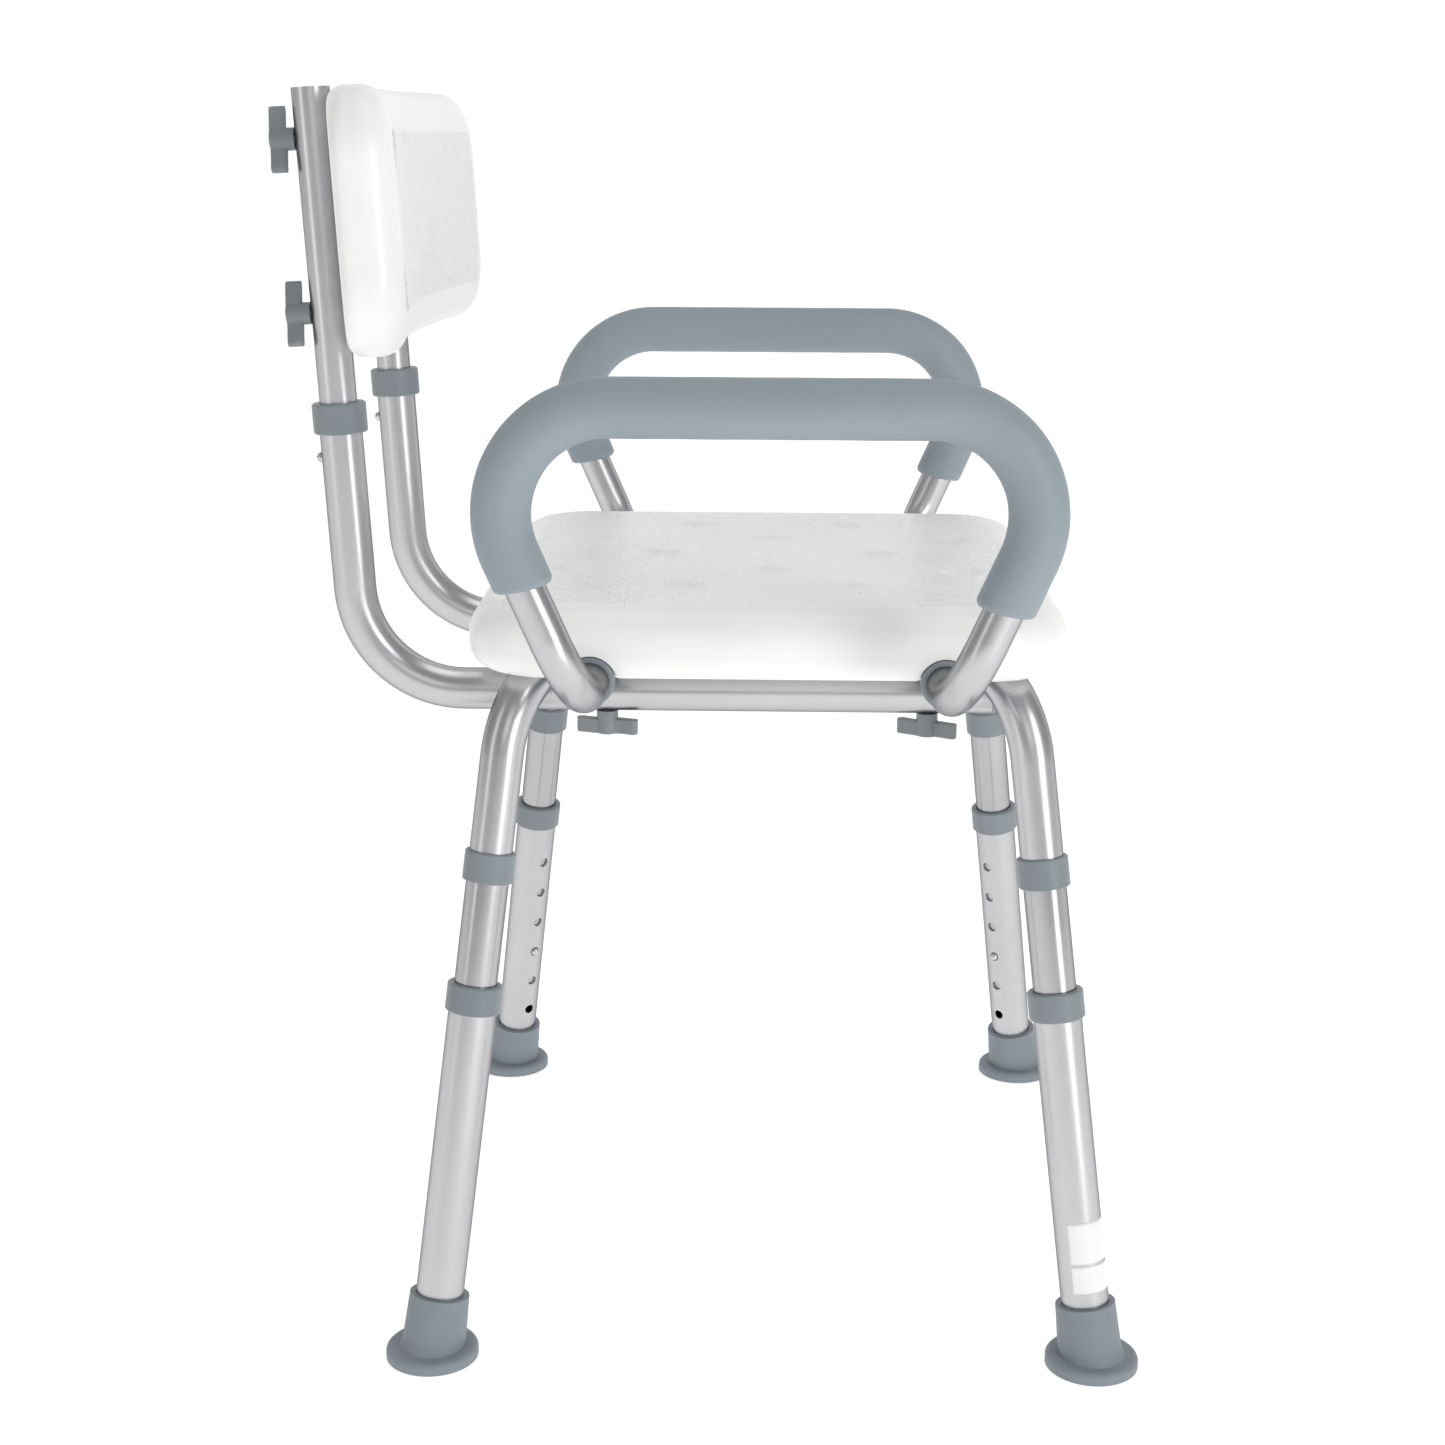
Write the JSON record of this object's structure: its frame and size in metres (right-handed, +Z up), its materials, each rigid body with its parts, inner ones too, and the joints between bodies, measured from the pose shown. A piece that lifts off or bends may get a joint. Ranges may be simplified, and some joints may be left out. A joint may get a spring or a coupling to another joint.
{
  "type": "shower chair",
  "caption": "Shower chair with a moulded seat, bowed lift-off backrest, padded D-shaped armrests and splayed telescopic legs with flanged rubber tips.",
  "frame": {"origin": "centre of the overall footprint, at floor level", "axes": "+Z up, +Y towards the backrest, so the chair faces -Y; X across, with names in left at -X and right at +X, as seen by someone who stands in front of the chair and faces it"},
  "size_m": [0.5428, 0.5152, 0.7369],
  "materials": {
    "seat_plastic": "white blow-moulded plastic with a fine leather-like grain on top",
    "grey_plastic": "mid grey moulded plastic",
    "knob_plastic": "mid grey moulded plastic",
    "foam": "closed-cell foam, matt blue-grey",
    "foot_rubber": "matt grey rubber",
    "tube_aluminium": "satin anodised",
    "insert_aluminium": "bright drawn",
    "button_steel": "polished steel",
    "bolt_steel": "plain steel"
  },
  "bodies": {
    "frame": {"seat": "seat_plastic", "cross_hub": "grey_plastic", "hub_bolt": "bolt_steel", "side_rail_left": "tube_aluminium", "rail_plug_left": "grey_plastic", "back_collar_left": "grey_plastic", "leg_frame_tube_front_left": "tube_aluminium", "upper_collar_front_left": "grey_plastic", "leg_insert_front_left": "insert_aluminium", "arm_socket_front_left": "grey_plastic", "leg_frame_tube_rear_left": "tube_aluminium", "upper_collar_rear_left": "grey_plastic", "leg_insert_rear_left": "insert_aluminium", "arm_socket_rear_left": "grey_plastic", "side_rail_right": "tube_aluminium", "rail_plug_right": "grey_plastic", "back_collar_right": "grey_plastic", "leg_frame_tube_front_right": "tube_aluminium", "upper_collar_front_right": "grey_plastic", "leg_insert_front_right": "insert_aluminium", "arm_socket_front_right": "grey_plastic", "leg_frame_tube_rear_right": "tube_aluminium", "upper_collar_rear_right": "grey_plastic", "leg_insert_rear_right": "insert_aluminium", "arm_socket_rear_right": "grey_plastic"},
    "back_button_left": {"back_button_left": "button_steel"},
    "back_knob_lower_left": {"back_knob_lower_left": "knob_plastic"},
    "back_knob_upper_left": {"back_knob_upper_left": "knob_plastic"},
    "arm_left": {"arm_tube_left": "tube_aluminium", "arm_foam_left": "foam"},
    "leg_front_left": {"lower_leg_front_left": "tube_aluminium", "lower_collar_front_left": "grey_plastic", "foot_front_left": "foot_rubber"},
    "leg_button_front_left": {"leg_button_front_left": "button_steel"},
    "under_knob_front_left": {"under_knob_front_left": "knob_plastic"},
    "leg_rear_left": {"lower_leg_rear_left": "tube_aluminium", "lower_collar_rear_left": "grey_plastic", "foot_rear_left": "foot_rubber"},
    "leg_button_rear_left": {"leg_button_rear_left": "button_steel"},
    "under_knob_rear_left": {"under_knob_rear_left": "knob_plastic"},
    "back_button_right": {"back_button_right": "button_steel"},
    "back_knob_lower_right": {"back_knob_lower_right": "knob_plastic"},
    "back_knob_upper_right": {"back_knob_upper_right": "knob_plastic"},
    "arm_right": {"arm_tube_right": "tube_aluminium", "arm_foam_right": "foam"},
    "leg_front_right": {"lower_leg_front_right": "tube_aluminium", "lower_collar_front_right": "grey_plastic", "foot_front_right": "foot_rubber"},
    "leg_button_front_right": {"leg_button_front_right": "button_steel"},
    "under_knob_front_right": {"under_knob_front_right": "knob_plastic"},
    "leg_rear_right": {"lower_leg_rear_right": "tube_aluminium", "lower_collar_rear_right": "grey_plastic", "foot_rear_right": "foot_rubber"},
    "leg_button_rear_right": {"leg_button_rear_right": "button_steel"},
    "under_knob_rear_right": {"under_knob_rear_right": "knob_plastic"},
    "back": {"backrest": "seat_plastic", "back_upright_left": "tube_aluminium", "back_upright_right": "tube_aluminium"}
  },
  "joints": [
    {"name": "back_button_left_press", "type": "slide", "parent": "back", "child": "back_button_left", "axis": [0, -0.9985, 0.0544], "range_m": [0, 0.0045], "stiffness_N_per_m": 500},
    {"name": "back_knob_lower_left_turn", "type": "hinge", "parent": "back", "child": "back_knob_lower_left", "pos_m": [-0.104, 0.22575, 0.6085], "axis": [0, 0.9985, -0.0544], "continuous": true},
    {"name": "back_knob_upper_left_turn", "type": "hinge", "parent": "back", "child": "back_knob_upper_left", "pos_m": [-0.104, 0.23115, 0.7076], "axis": [0, 0.9985, -0.0544], "continuous": true},
    {"name": "arm_left_pull", "type": "slide", "parent": "frame", "child": "arm_left", "axis": [-1, 0, 0], "range_m": [0, 0.05]},
    {"name": "leg_front_left_extend", "type": "slide", "parent": "frame", "child": "leg_front_left", "axis": [-0.1399, -0.1172, -0.9832], "range_m": [-0.0508, 0.0762], "deforming": ["leg_button_front_left"]},
    {"name": "leg_button_front_left_press", "type": "slide", "parent": "frame", "child": "leg_button_front_left", "axis": [-0.7537, -0.6314, 0.1825], "range_m": [0, 0.0045], "stiffness_N_per_m": 500},
    {"name": "under_knob_front_left_turn", "type": "hinge", "parent": "frame", "child": "under_knob_front_left", "pos_m": [-0.104, -0.13016, 0.3699], "axis": [0, 0, 1], "continuous": true},
    {"name": "leg_rear_left_extend", "type": "slide", "parent": "frame", "child": "leg_rear_left", "axis": [-0.1399, 0.1172, -0.9832], "range_m": [-0.0508, 0.0762], "deforming": ["leg_button_rear_left"]},
    {"name": "leg_button_rear_left_press", "type": "slide", "parent": "frame", "child": "leg_button_rear_left", "axis": [-0.7537, 0.6314, 0.1825], "range_m": [0, 0.0045], "stiffness_N_per_m": 500},
    {"name": "under_knob_rear_left_turn", "type": "hinge", "parent": "frame", "child": "under_knob_rear_left", "pos_m": [-0.104, 0.06484, 0.3699], "axis": [0, 0, 1], "continuous": true},
    {"name": "back_button_right_press", "type": "slide", "parent": "back", "child": "back_button_right", "axis": [0, -0.9985, 0.0544], "range_m": [0, 0.0045], "stiffness_N_per_m": 500},
    {"name": "back_knob_lower_right_turn", "type": "hinge", "parent": "back", "child": "back_knob_lower_right", "pos_m": [0.104, 0.22575, 0.6085], "axis": [0, 0.9985, -0.0544], "continuous": true},
    {"name": "back_knob_upper_right_turn", "type": "hinge", "parent": "back", "child": "back_knob_upper_right", "pos_m": [0.104, 0.23115, 0.7076], "axis": [0, 0.9985, -0.0544], "continuous": true},
    {"name": "arm_right_pull", "type": "slide", "parent": "frame", "child": "arm_right", "axis": [1, 0, 0], "range_m": [0, 0.05]},
    {"name": "leg_front_right_extend", "type": "slide", "parent": "frame", "child": "leg_front_right", "axis": [0.1399, -0.1172, -0.9832], "range_m": [-0.0508, 0.0762], "deforming": ["leg_button_front_right"]},
    {"name": "leg_button_front_right_press", "type": "slide", "parent": "frame", "child": "leg_button_front_right", "axis": [0.7537, -0.6314, 0.1825], "range_m": [0, 0.0045], "stiffness_N_per_m": 500},
    {"name": "under_knob_front_right_turn", "type": "hinge", "parent": "frame", "child": "under_knob_front_right", "pos_m": [0.104, -0.13016, 0.3699], "axis": [0, 0, 1], "continuous": true},
    {"name": "leg_rear_right_extend", "type": "slide", "parent": "frame", "child": "leg_rear_right", "axis": [0.1399, 0.1172, -0.9832], "range_m": [-0.0508, 0.0762], "deforming": ["leg_button_rear_right"]},
    {"name": "leg_button_rear_right_press", "type": "slide", "parent": "frame", "child": "leg_button_rear_right", "axis": [0.7537, 0.6314, 0.1825], "range_m": [0, 0.0045], "stiffness_N_per_m": 500},
    {"name": "under_knob_rear_right_turn", "type": "hinge", "parent": "frame", "child": "under_knob_rear_right", "pos_m": [0.104, 0.06484, 0.3699], "axis": [0, 0, 1], "continuous": true},
    {"name": "back_lift", "type": "slide", "parent": "frame", "child": "back", "axis": [0, 0.0544, 0.9985], "range_m": [0, 0.1], "deforming": ["back_button_left", "back_button_right"]}
  ]
}
